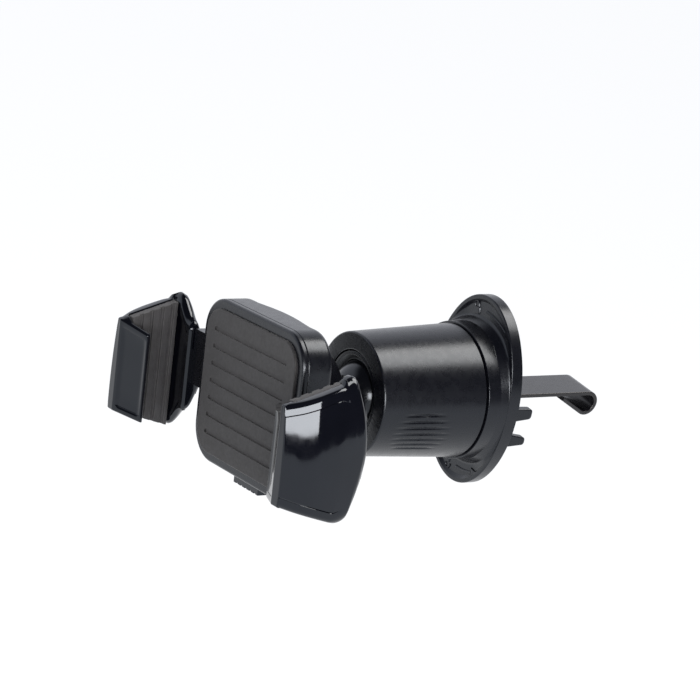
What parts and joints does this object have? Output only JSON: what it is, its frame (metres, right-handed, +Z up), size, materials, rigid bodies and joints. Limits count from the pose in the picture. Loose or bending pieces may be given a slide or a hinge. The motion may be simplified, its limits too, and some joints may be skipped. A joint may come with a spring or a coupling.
{
  "type": "car phone mount",
  "caption": "Car phone mount: two glossy spring grips on a ball-jointed cradle, a round twist-lock barrel, an oval vent flange and a flat steel hook that pulls onto the louvre.",
  "frame": {"origin": "centre of the oval flange's vent-side face, on the barrel's axis", "axes": "+Y along the barrel towards the vent, -Y towards the user, +X to the user's right, +Z up the oval flange"},
  "size_m": [0.0871, 0.1084, 0.0465],
  "materials": {
    "satin_black": "fine spark-eroded satin, black ABS",
    "piano_black": "polished, piano black",
    "ball_black": "semi-gloss glass-filled nylon",
    "acetal": "smooth low-friction acetal",
    "black_steel": "black electrocoated steel strip",
    "zinc_steel": "zinc-plated steel",
    "spring_steel": "plain spring steel",
    "grip_rubber": "matt dark grey silicone",
    "soft_rubber": "matt black silicone"
  },
  "bodies": {
    "base": {"vent_flange": "satin_black", "core_tube": "satin_black", "core_screws": "zinc_steel", "socket_ring": "satin_black", "friction_washer": "spring_steel"},
    "knob": {"lock_knob": "satin_black", "cam_sleeve": "acetal"},
    "hook": {"vent_hook": "black_steel", "hook_carrier": "acetal", "hook_rivets": "zinc_steel", "follower_pin": "spring_steel"},
    "liner": {"ball_liner": "acetal"},
    "ball": {"ball": "ball_black"},
    "cradle": {"ball_stud": "black_steel", "ball_screw": "zinc_steel", "cradle_back_cover": "satin_black", "cradle_front_cover": "satin_black", "cover_screws": "zinc_steel", "phone_pad": "soft_rubber", "mid_plate": "zinc_steel", "pinion_pin": "spring_steel", "stud_screws": "zinc_steel", "opening_spring": "spring_steel", "release_spring": "spring_steel"},
    "right_arm": {"right_arm": "satin_black", "right_grip": "piano_black", "right_grip_screws": "zinc_steel", "right_grip_pad": "grip_rubber"},
    "left_arm": {"left_arm": "satin_black", "left_grip": "piano_black", "left_grip_screws": "zinc_steel", "left_grip_pad": "grip_rubber"},
    "pinion": {"sync_pinion": "acetal"},
    "release": {"release_slider": "acetal", "release_button": "satin_black", "brake_pad": "soft_rubber"}
  },
  "joints": [
    {"name": "knob_turn", "type": "hinge", "parent": "base", "child": "knob", "pos_m": [0, -0.0223, 0], "axis": [0, 1, 0], "range_deg": [0, 300]},
    {"name": "hook_slide", "type": "slide", "parent": "base", "child": "hook", "axis": [0, 1, 0], "range_m": [-0.01, 0]},
    {"name": "ball_pan", "type": "hinge", "parent": "base", "child": "liner", "pos_m": [0, -0.031, 0], "axis": [0, 0, 1], "range_deg": [-20, 20]},
    {"name": "ball_tilt", "type": "hinge", "parent": "liner", "child": "ball", "pos_m": [0, -0.031, 0], "axis": [1, 0, 0], "range_deg": [-20, 20]},
    {"name": "cradle_roll", "type": "hinge", "parent": "ball", "child": "cradle", "pos_m": [0, -0.031, 0], "axis": [0, 1, 0], "continuous": true},
    {"name": "right_arm_slide", "type": "slide", "parent": "cradle", "child": "right_arm", "axis": [0.9871, 0, 0.1599], "range_m": [-0.007, 0.0075], "deforming": ["opening_spring"]},
    {"name": "left_arm_slide", "type": "slide", "parent": "cradle", "child": "left_arm", "axis": [-0.9871, 0, -0.1599], "range_m": [-0.007, 0.0075]},
    {"name": "pinion_spin", "type": "hinge", "parent": "cradle", "child": "pinion", "pos_m": [0.00024, -0.0598, -0.00148], "axis": [0, 1, 0], "range_deg": [-108, 101]},
    {"name": "release_press", "type": "slide", "parent": "cradle", "child": "release", "axis": [-0.1599, 0, 0.9871], "range_m": [0, 0.0015], "stiffness_N_per_m": 400, "springref_m": -0.003, "deforming": ["release_spring"]}
  ],
  "couplings": [
    {"joint": "hook_slide", "follows": "knob_turn", "m_per_rad": -0.0019099},
    {"joint": "left_arm_slide", "follows": "right_arm_slide", "ratio": 1},
    {"joint": "pinion_spin", "follows": "right_arm_slide", "rad_per_m": -250}
  ]
}
